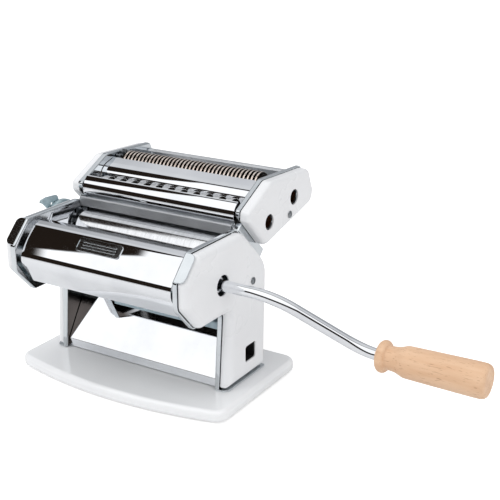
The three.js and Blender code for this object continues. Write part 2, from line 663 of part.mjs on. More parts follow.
function buildCutterFrame(parent) {
  SIDES.forEach(([side, sign]) => {
    piece(parent, `cutter_frame_${side}`, cutterFrame(sign), "chrome");
    piece(parent, `cutter_cover_${side}`, cutterCover(sign), "whitePaint");
    piece(parent, `cutter_runner_${side}`, onSide(onSlope(RUNNER_SECTION, RUNNER_SPAN), sign), "chrome");
    const screw = piece(parent, `cutter_screw_${side}`, onSide(screwSolid(3), sign), "steel");
    screw.position.set(sign * CUTTER_COVER_OUTER, ...CUTTER_SCREW);
  });
  piece(parent, "cutter_front_cover", cutterFrontCover(), "chrome");
  Object.entries(CUTTER_SHEETS).forEach(([name, path]) => {
    piece(parent, name, acrossHead(sheetOutline(path)), "chrome");
  });
  const stay = piece(parent, "cutter_stay", rod(-WEB_INNER + GAP, WEB_INNER - GAP, 3, 12), "zinc");
  stay.position.set(0, 108, 146);
  const thinComb = piece(parent, "thin_comb", combSolid(...THIN_RINGS, 22, 23), "steel");
  thinComb.position.set(0, ...THIN_DRIVEN);
  const wideComb = piece(parent, "wide_comb", combSolid(...WIDE_RINGS, -8, 21), "steel");
  wideComb.position.set(0, ...WIDE_DRIVEN);
}

// ---------------------------------------------------------------- cutting rollers

function ringCentres(pitch, ring) {
  const count = Math.floor((2 * RING.halfLength - ring) / pitch - 0.5) + 1;
  const first = -((count - 1) * pitch + pitch / 2) / 2;
  return Array.from({ length: count }, (_, index) => first + index * pitch);
}

// One ringed roller; the idle one is offset by half a pitch so the rings pass each other.
function ringedRoller([pitch, ring], offset, leftEnd, rightEnd, sides) {
  const rings = ringCentres(pitch, ring).flatMap((centre) => {
    const [from, to] = [centre + offset - ring / 2, centre + offset + ring / 2];
    return [[from, RING.groove], [from, RING.outer], [to, RING.outer], [to, RING.groove]];
  });
  return turned([
    [leftEnd, 0], [leftEnd, RING.shaft], [-73.4, RING.shaft], [-73.4, RING.groove], ...rings,
    [73.4, RING.groove], [73.4, RING.shaft], [rightEnd, RING.shaft], [rightEnd, 0],
  ], sides);
}

function buildCutterPair(parent, kind, rings, driven, idle, sides) {
  const line = Math.atan2(idle[1] - driven[1], idle[0] - driven[0]);
  const drivenGroup = groupAt(parent, driven);
  const idleGroup = groupAt(parent, idle);
  const half = rings[0] / 2;
  piece(drivenGroup, `${kind}_drive_roller`, ringedRoller(rings, 0, -88, 78, sides), "bronze");
  piece(drivenGroup, `${kind}_drive_socket`, socketSolid(), "steel");
  piece(drivenGroup, `${kind}_drive_gear`, gearSolid(CUTTER_GEAR, line, RING.shaft + GAP), "steel");
  const toothAt = line + Math.PI + Math.PI / CUTTER_GEAR.teeth;
  piece(idleGroup, `${kind}_idle_roller`, ringedRoller(rings, half, -88, 86, sides), "bronze");
  piece(idleGroup, `${kind}_idle_gear`, gearSolid(CUTTER_GEAR, toothAt, RING.shaft + GAP), "steel");
}

// The hub on a driven roller's end that takes the crank.
function socketSolid() {
  return rod(74, HUB.end, HUB.radius, 18)
    .subtract(rod(73, 78 + GAP, RING.shaft + GAP, 16))
    .subtract(rod(78, HUB.end + 1, SOCKET_RADIUS, 16));
}

function buildCutter(parent) {
  buildCutterFrame(parent);
  buildCutterPair(parent, "thin", THIN_RINGS, THIN_DRIVEN, THIN_IDLE, 8);
  buildCutterPair(parent, "wide", WIDE_RINGS, WIDE_DRIVEN, WIDE_IDLE, 10);
}

// ---------------------------------------------------------------- assembly

buildBase(groupAt(machine));
buildSides(groupAt(machine));
buildHead(groupAt(machine));
buildRails(groupAt(machine));
buildDriveRoller(machine);
buildRearRoller(machine);
buildCrank(machine);
buildRegulator(machine);
buildCutter(groupAt(machine));

export default machine;
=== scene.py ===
"""Looks for the hand-cranked pasta machine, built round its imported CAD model.

Sizes are in millimetres, as in the CAD, and become metres when a mesh is made.
X runs along the rollers with the crank on +X, and -Y is the front.
"""

import math

import bmesh
import bpy
from mathutils import Matrix, Vector


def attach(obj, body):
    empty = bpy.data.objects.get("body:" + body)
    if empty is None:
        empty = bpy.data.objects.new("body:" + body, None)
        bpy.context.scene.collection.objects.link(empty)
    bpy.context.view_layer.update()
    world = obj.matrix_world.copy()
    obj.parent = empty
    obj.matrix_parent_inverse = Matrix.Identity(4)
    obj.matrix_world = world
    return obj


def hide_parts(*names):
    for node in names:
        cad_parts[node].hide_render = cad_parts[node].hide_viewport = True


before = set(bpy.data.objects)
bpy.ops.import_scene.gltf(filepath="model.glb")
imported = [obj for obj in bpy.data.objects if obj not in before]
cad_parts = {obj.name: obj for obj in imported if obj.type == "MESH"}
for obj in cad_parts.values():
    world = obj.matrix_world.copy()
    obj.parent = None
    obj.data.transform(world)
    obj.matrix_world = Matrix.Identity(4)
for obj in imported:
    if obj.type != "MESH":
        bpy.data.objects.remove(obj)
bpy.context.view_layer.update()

# ---------------------------------------------------------------- sizes shared with the CAD

SHEET = 0.8
WEB_INNER, WEB, FLANGE_OUTER = 80.0, 1.2, 84.5
COVER_FROM, COVER_OUTER, COVER_WALL, COVER_EDGE = 84.8, 93.7, 1.5, 6.5
CUTTER_COVER_OUTER, CUTTER_COVER_EDGE = 94.0, 3.6
BEHIND_COVER, PAST_COVER = 85, 100  # how far a cutting tool reaches for a hole in a cover only
SHEET_END, HOOD_END, FRONT_COVER_END, STAY_END = 79.4, 76.5, 79.1, 79.7
BASE = {"half": 108, "rear": 69, "side": 54.5, "front": 69.5, "corner": 12, "low": 1.8, "top": 11}
FOOT = [(WEB_INNER + WEB, -24.5, 0), (92.5, -24.5, 6), (92.5, 38, 2), (WEB_INNER + WEB, 38, 0)]
FOOT_LEVELS, COVER_LOW = (11.3, 12.5), 13.7
TAB_LOW, TAB_HIGH, TAB_OUTER = (-79.7, 125.9), (-61.9, 144.2), 90.8
CLAMP_HOLE = [(3.5, 28, 2), (19.5, 28, 2), (19.5, 42.5, 2), (3.5, 42.5, 2)]
COVER_SCREW, CUTTER_SCREW, SCREW_HOLE = (15.2, 98.4), (75.6, 139.8), 1.8
FRONT_STAY, REAR_STAY, CUTTER_STAY = (-57, 103), (29, 98), (108, 146)
PLAQUE_CENTRE, PLAQUE_HALF, PLAQUE_CORNER = (-2.3, -64.2, 132.95), (22.5, 6.0), 3.0

FRONT_AXIS, REAR_AXIS = (-30.0, 109.2), (1.0, 121.2)
REAR_BORE = (0.16, 120.88)  # midway along the rear shaft's travel
ROLLER_RADIUS, ROLLER_SPAN, SHAFT = 15.5, (-71.5, 76.0), 7.0
SOCKET_BORE, SOCKET_FLOOR = 5.05, 64
DIAL_RADIUS, WING_HOLE = 21.0, (-8.5, 18.5)
CRANK_THROW, GRIP_FROM, GRIP_TO, PIN_END, ROD = (35.0, -44.7), 214.5, 303, 274.5, 4.75

WIDE_DRIVEN, WIDE_IDLE = (41.4, 142.2), (22.0, 152.4)
THIN_DRIVEN, THIN_IDLE = (83.4, 153.5), (65.4, 165.3)
WIDE_RINGS, THIN_RINGS = (13, 6.1), (4, 1.6)  # pitch and width
RING_ROOM, RING_END = 144, 73.4
WRAP_RADIUS, WRAP_FROM, WRAP_STEP, WRAP_POINTS = 13.1, 226, 2.7, 41  # the angles are in degrees

# Outlines and paths in the Y-Z plane: y, z and the corner's radius.
FRAME_OUTLINE = [
    (-24.5, 11.3, 1), (-18.5, 80, 6), (-59.5, 80, 6), (-80.5, 103, 9), (-80.5, 125.5, 5),
    (-61.5, 145, 5), (4.8, 145, 10), (41.3, 108, 20), (38, 11.3, 1),
]
COVER_RADII = (1, 7, 5, 8, 5, 6, 14, 22, 1)
CUTTER_OUTLINE = [
    (8.5, 154.4, 1), (8.5, 158.8, 3), (44.5, 177.3, 12), (110.8, 174.2, 5),
    (120, 152, 5), (116.8, 140.6, 9), (42, 122.6, 4), (40.3, 122.6, 0.6),
]
CUTTER_COVER_OUTLINE = [
    (9.5, 150, 4), (9.5, 158.2, 5), (44.8, 176.2, 12), (110, 173.1, 8),
    (118.9, 152, 6), (116, 141.6, 9), (41, 123.6, 6), (35, 123.6, 4),
]
HOOD_PATH = [
    (-41.5, 138.4, 0), (-51.5, 140.4, 3), (-58, 138.9, 8), (-69.2, 128.2, 85), (-79.2, 113.8, 12),
    (-64, 90.6, 0),
]
REAR_COVER_PATH = [(4, 139, 0), (3.9, 151, 1), (9.5, 138.6, 3), (40.2, 107.8, 7), (37.3, 12, 0)]
CHUTE_PATH = [(-19.6, 12, 0), (-20.4, 19.4, 0.9), (22.5, 89, 0)]
MID_COVER_PATH = [(34.8, 155, 0), (35.8, 162.8, 7), (41, 168, 18), (54, 171.8, 0)]
CUTTER_REAR_PATH = [(105, 167, 0), (106.5, 168.6, 1), (110.4, 168.6, 3), (117, 152, 3), (114.2, 143.5, 0)]
GRIP_PROFILE = [  # along the grip, and the radius there
    (0, 9.8), (1, 11.6), (3, 12.8), (5.4, 12.8), (7.2, 11.6), (8.2, 10), (10.5, 9.6), (15, 10),
    (18.5, 11), (22, 12.3), (26, 12.7), (50, 13.2), (80, 13.7), (85.5, 13.3), (87.8, 12), (88.5, 10),
]
WING = [  # from the dial's axis
    (-7, 3, 1), (-11, 12, 3), (-20, 21.5, 1.5), (-22.8, 22.3, 0.8), (-21.7, 24.8, 1),
    (-14.5, 25.8, 4), (-1, 24.9, 2.5), (2, 16, 4), (5, 3, 1),
]

# ---------------------------------------------------------------- outlines


def rounded(corners, closed=True, steps=8):
    """Points of an outline or an open path whose corners are rounded."""
    count, points = len(corners), []
    for index, (y, z, radius) in enumerate(corners):
        corner = Vector((y, z))
        if radius == 0 or (not closed and index in (0, count - 1)):
            points.append(corner)
            continue
        before = (Vector(corners[index - 1][:2]) - corner).normalized()
        after = (Vector(corners[(index + 1) % count][:2]) - corner).normalized()
        half = before.angle(after) / 2
        centre = (before + after).normalized() * (radius / math.sin(half))
        start = before * (radius / math.tan(half)) - centre
        end = after * (radius / math.tan(half)) - centre
        first = math.atan2(start.y, start.x)
        sweep = math.remainder(math.atan2(end.y, end.x) - first, 2 * math.pi)
        for step in range(steps + 1):
            angle = first + sweep * step / steps
            points.append(corner + centre + radius * Vector((math.cos(angle), math.sin(angle))))
    return points


def inset(corners, distance):
    """The same corners moved inwards by a distance, with their radii to suit."""
    count = len(corners)
    pairs = [(corners[i][:2], corners[(i + 1) % count][:2]) for i in range(count)]
    side = math.copysign(1, sum(a[0] * b[1] - b[0] * a[1] for a, b in pairs))
    moved = []
    for index, (y, z, radius) in enumerate(corners):
        here = Vector((y, z))
        into = (here - Vector(corners[index - 1][:2])).normalized()
        out = (Vector(corners[(index + 1) % count][:2]) - here).normalized()
        share = distance * side / (1 + into.dot(out))
        convex = (into.x * out.y - into.y * out.x) * side > 0
        bent = max(radius - distance, 0.3) if convex else radius + distance
        moved.append((y - (into.y + out.y) * share, z + (into.x + out.x) * share, bent if radius else 0))
    return moved


def sheet_outline(path, thickness=SHEET):
    """The closed outline of a sheet that follows a path of points."""
    sides = ([], [])
    for index, point in enumerate(path):
        along = (path[min(index + 1, len(path) - 1)] - path[max(index - 1, 0)]).normalized()
        across = Vector((-along.y, along.x)) * thickness / 2
        sides[0].append(point + across)
        sides[1].append(point - across)
    return sides[0] + sides[1][::-1]


def circle(centre, radius, sides):
    """The corners of a regular polygon that stands for a circle."""
    turns = [2 * math.pi * i / sides for i in range(sides)]
    return [Vector(centre) + radius * Vector((math.cos(t), math.sin(t))) for t in turns]


def smooth_profile(points, cuts=5):
    """A finer profile through the same points, as a Catmull-Rom curve."""
    fine = []
    for i in range(len(points) - 1):
        a, b = Vector(points[i]), Vector(points[i + 1])
        before = Vector(points[i - 1]) if i else a * 2 - b
        after = Vector(points[i + 2]) if i + 2 < len(points) else b * 2 - a
        for cut in range(cuts):
            t = cut / cuts
            fine.append(0.5 * (2 * a + (b - before) * t + (2 * before - 5 * a + 4 * b - after) * t**2
                               + (3 * a - before - 3 * b + after) * t**3))
    return [tuple(p) for p in fine] + [tuple(points[-1])]


# ---------------------------------------------------------------- meshes


def along_x(u, v, w):
    """Places an outline in the Y-Z plane, at a level along X."""
    return (w, u, v)


def along_z(u, v, w):
    """Places an outline in the X-Y plane, at a level along Z."""
    return (u, v, w)


def make(name, points, faces):
    """A mesh object from points in millimetres, with its faces out."""
    mesh = bpy.data.meshes.new(name)
    mesh.from_pydata([Vector(p) / 1000 for p in points], [], faces)
    work = bmesh.new()
    work.from_mesh(mesh)
    bmesh.ops.remove_doubles(work, verts=work.verts, dist=1e-6)
    bmesh.ops.recalc_face_normals(work, faces=work.faces)
    work.to_mesh(mesh)
    work.free()
    thing = bpy.data.objects.new(name, mesh)
    bpy.context.scene.collection.objects.link(thing)
    return thing


def loft(name, rings, place=along_x, sign=1):
    """A closed solid through rings of equal point counts, each at its own level."""
    count = len(rings[0][0])
    points = []
    for outline, level in rings:
        for u, v in outline:
            x, y, z = place(u, v, level)
            points.append((sign * x, y, z))
    faces = [tuple(range(count)), tuple(range(len(points) - count, len(points)))]
    for ring in range(len(rings) - 1):
        for i in range(count):
            a, b = ring * count + i, ring * count + (i + 1) % count
            faces.append((a, b, b + count, a + count))
    return make(name, points, faces)


def prism(name, outline, low, high, place=along_x, sign=1):
    """A closed solid of one outline between two levels."""
    return loft(name, [(outline, low), (outline, high)], place, sign)


def lathe(name, profile, centre, sides, sign=1):
    """A solid of revolution about an axis along X; the profile is (x, radius)."""
    rings = [(circle(centre, max(radius, 1e-3), sides), x) for x, radius in profile]
    return loft(name, rings, along_x, sign)


def settle(thing):
    """Applies the object's modifiers to its mesh."""
    bpy.context.view_layer.update()
    graph = bpy.context.evaluated_depsgraph_get()
    mesh = bpy.data.meshes.new_from_object(thing.evaluated_get(graph))
    thing.modifiers.clear()
    thing.data = mesh
    return thing


def cut(thing, *tools):
    """Takes the tools' solids out of a piece, and removes the tools."""
    for tool in tools:
        step = thing.modifiers.new("cut", "BOOLEAN")
        step.operation, step.solver, step.object = "DIFFERENCE", "EXACT", tool
    settle(thing)
    for tool in tools:
        bpy.data.objects.remove(tool)
    return thing


def soften(thing, width=0.25, over=40, segments=2, sharp=50):
    """Breaks the hard edges and shades the rest smooth, with flat faces kept flat."""
    thing.data.polygons.foreach_set("use_smooth", [True] * len(thing.data.polygons))
    if width:
        edge = thing.modifiers.new("edge", "BEVEL")
        edge.width, edge.segments, edge.limit_method = width / 1000, segments, "ANGLE"
        edge.angle_limit = math.radians(over)
        settle(thing)
    thing.data.set_sharp_from_angle(angle=math.radians(sharp))
    even = thing.modifiers.new("even", "WEIGHTED_NORMAL")
    even.keep_sharp = True
    return settle(thing)


def dress(thing, body, look, slot, *stands_for):
    """Gives a piece its finish and its body, and hides the CAD nodes it stands for; the slot is not used."""
    thing.data.materials.clear()
    thing.data.materials.append(look)
    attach(thing, body)
    if stands_for:
        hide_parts(*stands_for)
    return thing


# ---------------------------------------------------------------- materials


EVEN = (1, 1, 1)  # a noise that is as fine along each axis
NOISE_SPAN = (0.3, 0.7)  # where nearly all of a noise's values lie
WAVE_NOISE = (22, 1, (0.6, 1, 1))


def linear(*levels):
    """A colour given as 0 to 255 screen levels."""
    return [((c / 255 + 0.055) / 1.055) ** 2.4 if c > 10 else c / 255 / 12.92 for c in levels] + [1]


def link(tree, source, output, target, socket):
    """Joins a node's named output to another's named input."""
    tree.links.new(source.outputs[output], target.inputs[socket])


def noise(tree, coords, scale, detail=4.0, stretch=EVEN):
    """Noise in the object's own space, finer along an axis with a larger stretch."""
    place = tree.nodes.new("ShaderNodeMapping")
    place.inputs["Scale"].default_value = stretch
    link(tree, coords, "Object", place, "Vector")
    cloud = tree.nodes.new("ShaderNodeTexNoise")
    cloud.inputs["Scale"].default_value = scale
    cloud.inputs["Detail"].default_value = detail
    link(tree, place, "Vector", cloud, "Vector")
    return cloud.outputs["Fac"]


def ranged(tree, value, source, target=(0, 1), kind="LINEAR"):
    """A value taken from one range to another, and held inside it."""
    node = tree.nodes.new("ShaderNodeMapRange")
    node.interpolation_type = kind
    node.inputs["From Min"].default_value, node.inputs["From Max"].default_value = source
    node.inputs["To Min"].default_value, node.inputs["To Max"].default_value = target
    tree.links.new(value, node.inputs["Value"])
    return node.outputs["Result"]


def above(tree, value, edge, soft):
    """0 below the edge and 1 above it, with a soft step."""
    return ranged(tree, value, (edge - soft, edge + soft), kind="SMOOTHSTEP")


def calculate(tree, operation, *values):
    """One Math node, whose values are numbers or other nodes' outputs."""
    node = tree.nodes.new("ShaderNodeMath")
    node.operation = operation
    for index, value in enumerate(values):
        if isinstance(value, (int, float)):
            node.inputs[index].default_value = value
        else:
            tree.links.new(value, node.inputs[index])
    return node.outputs[0]


def bump(tree, height, distance, under=None):
    """A bump of a height in millimetres, on top of another bump if there is one."""
    node = tree.nodes.new("ShaderNodeBump")
    node.inputs["Strength"].default_value = 1.0
    node.inputs["Distance"].default_value = distance / 1000
    tree.links.new(height, node.inputs["Height"])
    if under is not None:
        tree.links.new(under, node.inputs["Normal"])
    return node.outputs["Normal"]


def lay_over(look, mask, colour):
    """Mixes a second colour over a finish's own, as far as the mask says."""
    tree = look.node_tree
    base = tree.nodes["Principled BSDF"].inputs["Base Color"]
    mixed = tree.nodes.new("ShaderNodeMix")
    mixed.data_type = "RGBA"
    mixed.inputs["B"].default_value = linear(*colour)
    tree.links.new(base.links[0].from_socket, mixed.inputs["A"])
    tree.links.new(mask, mixed.inputs["Factor"])
    tree.links.new(mixed.outputs["Result"], base)


def finish(name, dark, light, rough, metal=0.0, tint=(30, 4, EVEN), smudge=(18, 3, EVEN),
           grain=(900, 2, EVEN), depth=0.02, coat=0.0, coat_rough=0.05, waves=0.0):
    """A worked finish: mottled colour, uneven roughness, and a fine grain in the surface.

    dark and light are screen levels, rough is (lowest, highest), depth is the grain's height
    in millimetres, and waves is the height of the broad unevenness of pressed sheet. tint,
    smudge and grain are noises: scale, detail and stretch.
    """
    material = bpy.data.materials.new(name)
    material.use_nodes = True
    tree = material.node_tree
    shader = tree.nodes["Principled BSDF"]
    shader.inputs["Metallic"].default_value = metal
    shader.inputs["Coat Weight"].default_value = coat
    shader.inputs["Coat Roughness"].default_value = coat_rough
    coords = tree.nodes.new("ShaderNodeTexCoord")
    mottle = tree.nodes.new("ShaderNodeValToRGB")
    for element, place, colour in zip(mottle.color_ramp.elements, NOISE_SPAN, (dark, light)):
        element.position = place
        element.color = linear(*colour)
    tree.links.new(noise(tree, coords, *tint), mottle.inputs["Fac"])
    link(tree, mottle, "Color", shader, "Base Color")
    uneven = ranged(tree, noise(tree, coords, *smudge), NOISE_SPAN, rough)
    tree.links.new(uneven, shader.inputs["Roughness"])
    broad = bump(tree, noise(tree, coords, *WAVE_NOISE), waves) if waves else None
    fine = bump(tree, noise(tree, coords, *grain), depth, broad)
    tree.links.new(fine, shader.inputs["Normal"])
    return material


CHROME = finish("chrome", (224, 226, 230), (238, 240, 243), (0.015, 0.035), 1, depth=0.0002, waves=0.012)
FLANGE = finish("plated_frame", (206, 212, 216), (224, 228, 231), (0.05, 0.1), 1, depth=0.0006)
ROLLER = finish("polished_roller", (216, 218, 221), (230, 232, 235), (0.08, 0.13), 1,
                tint=(60, 3, (8, 1, 1)), grain=(2500, 2, (1, 0.05, 0.05)), depth=0.0002)
STEEL = finish("machined_steel", (120, 124, 128), (158, 162, 166), (0.28, 0.42), 1,
               tint=(90, 4, EVEN), grain=(1800, 3, (1, 0.2, 1)), depth=0.004)
ZINC = finish("zinc", (172, 190, 197), (196, 213, 218), (0.32, 0.46), 0.75,
              tint=(140, 5, EVEN), grain=(1200, 4, EVEN), depth=0.006)
BRONZE = finish("bronze", (150, 108, 80), (196, 156, 126), (0.22, 0.38), 1,
                tint=(160, 4, (3, 1, 1)), grain=(2600, 2, (1, 0.1, 0.1)), depth=0.003)
SATIN = finish("satin_sheet", (196, 199, 203), (212, 215, 219), (0.34, 0.44), 0.8, depth=0.001)
RING_BRONZE = finish("ring_bronze", (226, 208, 195), (248, 238, 230), (0.2, 0.32), 1,
                     tint=(220, 4, (3, 1, 1)), grain=(2600, 2, (1, 0.1, 0.1)), depth=0.002)
RING_STEEL = finish("ring_steel", (232, 233, 235), (246, 247, 248), (0.24, 0.34), 1,
                    tint=(160, 4, (3, 1, 1)), grain=(2600, 2, (1, 0.1, 0.1)), depth=0.002)
# Painted shade: a dark metal colour for the hood's inner faces.
INNER_SHADE = finish("painted_inner_shade", (70, 64, 61), (92, 86, 83), (0.2, 0.34), 1, depth=0.001)
# Painted shade: near black for the grooves between the cutting rings.
GROOVE_SHADE = finish("painted_groove_shade", (22, 17, 14), (46, 35, 28), (0.35, 0.5), 0.6,
                grain=(1800, 3, EVEN), depth=0.005)
ENAMEL = finish("white_enamel", (228, 229, 231), (236, 237, 239), (0.24, 0.34), 0,
                tint=(12, 3, EVEN), grain=(420, 3, EVEN), depth=0.006, coat=0.35, coat_rough=0.12)
BASE_WHITE = finish("base_white", (236, 237, 239), (243, 244, 245), (0.14, 0.22), 0,
                    tint=(10, 3, EVEN), grain=(260, 3, EVEN), depth=0.005, coat=0.5, coat_rough=0.06)
BLACK = finish("black_plastic", (12, 12, 13), (26, 26, 27), (0.45, 0.62), 0,
               grain=(1600, 4, EVEN), depth=0.02)
RUBBER = finish("rubber", (30, 30, 31), (46, 46, 47), (0.75, 0.92), 0,
                grain=(2200, 5, EVEN), depth=0.04)
SOCKET = finish("blackened_steel", (24, 24, 26), (44, 44, 46), (0.3, 0.45), 0.6,
                grain=(1800, 3, EVEN), depth=0.006)


def beech():
    """Pale turned beech: soft bands along the grip, and short darker pores."""
    look = finish("beech", (214, 172, 136), (229, 193, 160), (0.42, 0.55), 0,
                  tint=(160, 5, (0.12, 1, 1)), smudge=(200, 4, (0.15, 1, 1)),
                  grain=(1500, 4, (0.05, 1, 1)), depth=0.05, coat=0.08, coat_rough=0.4)
    tree = look.node_tree
    pores = noise(tree, tree.nodes["Texture Coordinate"], 1400, 2, (0.1, 1, 1))
    lay_over(look, ranged(tree, pores, (0.63, 0.7), (0, 0.55)), (150, 100, 66))
    return look


WEB_SHADE_HEIGHTS = (0.088, 0.112)  # the heights, in metres, between which the painted shade gives way


def web_painted_shade():
    """The side frames' inner faces: painted shade, dark low down behind the chute, going over by height to a
    bright chrome colour above the rollers.
    """
    look = finish("web_painted_shade", (70, 64, 61), (92, 86, 83), (0.08, 0.16), 1, depth=0.0006)
    tree = look.node_tree
    split = tree.nodes.new("ShaderNodeSeparateXYZ")
    link(tree, tree.nodes["Texture Coordinate"], "Object", split, "Vector")
    lay_over(look, ranged(tree, split.outputs["Z"], WEB_SHADE_HEIGHTS), (204, 207, 210))
    return look


BEECH, WEB_SHADE_LOOK = beech(), web_painted_shade()

# ---------------------------------------------------------------- base


def base_outline():
    """Straight sides and back, and a front edge that bows outwards."""
    half, side, front, corner = BASE["half"], BASE["side"], BASE["front"], BASE["corner"]
    spans = 24
    bow = []
    for index in range(1, spans):
        across = 2 * index / spans - 1
        bow.append((half * across, -side - (front - side) * (1 - across**2), 0))
    return [(-half, -side, corner), *bow, (half, -side, corner),
            (half, BASE["rear"], corner), (-half, BASE["rear"], corner)]


def build_base():
    """The base, with a rounded upper edge."""
    outline = base_outline()
    edge, low, top = 4.0, BASE["low"], BASE["top"]
    rings = [(rounded(inset(outline, 1.0)), low), (rounded(inset(outline, 0.3)), low + 0.3),
             (rounded(inset(outline, 0.01)), low + 1)]
    for step in range(11):
        angle = math.radians(9 * step)
        rings.append((rounded(inset(outline, edge * (1 - math.cos(angle)) + 0.01)),
                      top - edge * (1 - math.sin(angle))))
    dress(soften(loft("base", rings, along_z), 0), "machine", BASE_WHITE, "base_white", "base_plate")


# ---------------------------------------------------------------- side frames and covers


def tray(name, outline, sign):
    """A pressed tray: a web with a flange turned outwards all round it."""
    outer, bend = FLANGE_OUTER, 1.6
    rings = []
    for step in range(7):
        angle = math.radians(15 * step)
        rings.append((rounded(inset(outline, bend * (1 - math.sin(angle)) + 0.001)),
                      WEB_INNER + bend * (1 - math.cos(angle))))
    for distance, level in ((0.001, outer - 0.3), (0.09, outer - 0.09), (0.3, outer), (WEB - 0.3, outer),
                            (WEB - 0.09, outer - 0.09), (WEB, outer - 0.3), (WEB, WEB_INNER + WEB + 0.8),
                            (WEB + 0.3, WEB_INNER + WEB + 0.2), (WEB + 0.9, WEB_INNER + WEB)):
        rings.append((rounded(inset(outline, distance)), level))
    return loft(name, rings, along_x, sign)


def shell(name, outline, outer, wall, edge, sign):
    """A domed cover with a hollow back."""
    rings = []
    inner = max(edge - wall, 0.5)
    for step in range(7):
        angle = math.radians(90 - 15 * step)
        rings.append((rounded(inset(outline, wall + inner * (1 - math.cos(angle)))),
                      outer - wall - inner * (1 - math.sin(angle))))
    for distance, lift in ((wall, 0), (0.4, 0), (0.1, 0.1), (0.001, 0.4)):
        rings.append((rounded(inset(outline, distance)), COVER_FROM + lift))
    for step in range(13):
        angle = math.radians(7.5 * step)
        rings.append((rounded(inset(outline, edge * (1 - math.cos(angle)) + 0.001)),
                      outer - edge * (1 - math.sin(angle))))
    return loft(name, rings, along_x, sign)


def rod_tool(centre, radius, low=70, high=PAST_COVER, sign=1):
    """A round tool along X, long enough for a side frame and its cover."""
    return prism("tool", circle(centre, radius, 64), low, high, along_x, sign)


def paint_web_shade(holder):
    """Gives the web's face between the side frames the painted shade, darker low down."""
    holder.data.materials.append(WEB_SHADE_LOOK)
    for face in holder.data.polygons:
        if abs(face.center.x) * 1000 < WEB_INNER + 0.05:
            face.material_index = 1


def head_tab(name, sign):
    """The tab that stands out from the top of the front chamfer, with rounded outer corners."""
    low, high = Vector(TAB_LOW), Vector(TAB_HIGH)
    along = (high - low).normalized()
    across = Vector((along.y, -along.x)) * WEB / 2
    middle, half = (low + high) / 2, (high - low).length / 2
    inner = WEB_INNER + WEB
    face = rounded([(inner, -half, 0), (TAB_OUTER, -half, 5), (TAB_OUTER, half, 5), (inner, half, 0)])

    def on_chamfer(x, distance, shift):
        return (x, *(middle + along * distance + across * shift))

    return prism(name, face, -1, 1, on_chamfer, sign)


def build_sides():
    """The chromed side frames and the white covers outside them."""
    corners = zip(inset(FRAME_OUTLINE, 1.6), COVER_RADII)
    cover_outline = [(y, max(z, COVER_LOW), radius) for (y, z, _), radius in corners]
    front_bore, rear_bore, socket_hole, dial_hole = 7.3, 8.2, 8.75, 10
    for side, sign in (("right", 1), ("left", -1)):
        holder = tray(f"frame_{side}", FRAME_OUTLINE, sign)
        cut(holder, rod_tool(FRONT_AXIS, front_bore, sign=sign), rod_tool(REAR_BORE, rear_bore, sign=sign))
        dress(soften(holder, 0), "machine", FLANGE, "chrome")
        # The web's inner face takes a painted shade, darker low down.
        paint_web_shade(holder)
        flange = prism(f"frame_foot_{side}", rounded(FOOT), *FOOT_LEVELS, along_z, sign)
        dress(soften(flange, 0.3), "machine", FLANGE, "chrome")
        tab = head_tab(f"frame_tab_{side}", sign)
        dress(soften(tab, 0.3, 60), "machine", FLANGE, "chrome")
        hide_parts(f"side_frame_{side}")
        cover = shell(f"cover_{side}", cover_outline, COVER_OUTER, COVER_WALL, COVER_EDGE, sign)
        tools = [rod_tool(COVER_SCREW, SCREW_HOLE, BEHIND_COVER, sign=sign)]
        if sign > 0:
            tools.append(rod_tool(FRONT_AXIS, socket_hole, BEHIND_COVER))
            tools.append(prism("tool", rounded(CLAMP_HOLE), BEHIND_COVER, PAST_COVER))
        else:
            tools.append(rod_tool(REAR_AXIS, dial_hole, BEHIND_COVER, sign=sign))
        cut(cover, *tools)
        dress(soften(cover, 0.35, 60), "machine", ENAMEL, "white_enamel", f"side_cover_{side}")
        screw(f"screw_{side}", COVER_SCREW, COVER_OUTER, sign, "machine", f"cover_screw_{side}")


def screw(name, centre, seat, sign, body, node):
    """A slotted dome head on its shank."""
    dome = [(seat + 0.35 + 1.15 * math.sin(math.radians(a)), 3.2 * math.cos(math.radians(a)))
            for a in range(0, 90, 9)]
    head = lathe(name, [(seat - 3, 0), (seat - 3, 1.5), (seat + 0.3, 1.5), (seat + 0.3, 3), *dome,
                        (seat + 1.5, 0)], centre, 40, sign)
    y, z = centre
    slot = [Vector(p) for p in ((y - 0.4, z - 5), (y + 0.4, z - 5), (y + 0.4, z + 5), (y - 0.4, z + 5))]
    cut(head, prism("tool", slot, seat + 0.75, seat + 4, along_x, sign))
    dress(soften(head, 0), body, STEEL, "roller_steel", node)


# ---------------------------------------------------------------- sheet metal


def sheet(name, path, end, body, node, look=CHROME):
    """A bent sheet between -end and end, on a path of corners with radii or of plain points."""
    points = rounded(path, False, 20) if len(path[0]) == 3 else [Vector(p) for p in path]
    thing = prism(name, sheet_outline(points), -end, end)
    return dress(soften(thing, 0.12, 60), body, look, "chrome", node)


def paint_inner_shade(thing, middle):
    """Gives the painted shade, a dark metal colour, to the faces that look towards a point of the Y-Z plane.
    """
    thing.data.materials.append(INNER_SHADE)
    for face in thing.data.polygons:
        toward = Vector((0, *middle)) / 1000 - face.center
        toward.x = 0
        if toward.normalized().dot(face.normal) > 0.3:
            face.material_index = 1


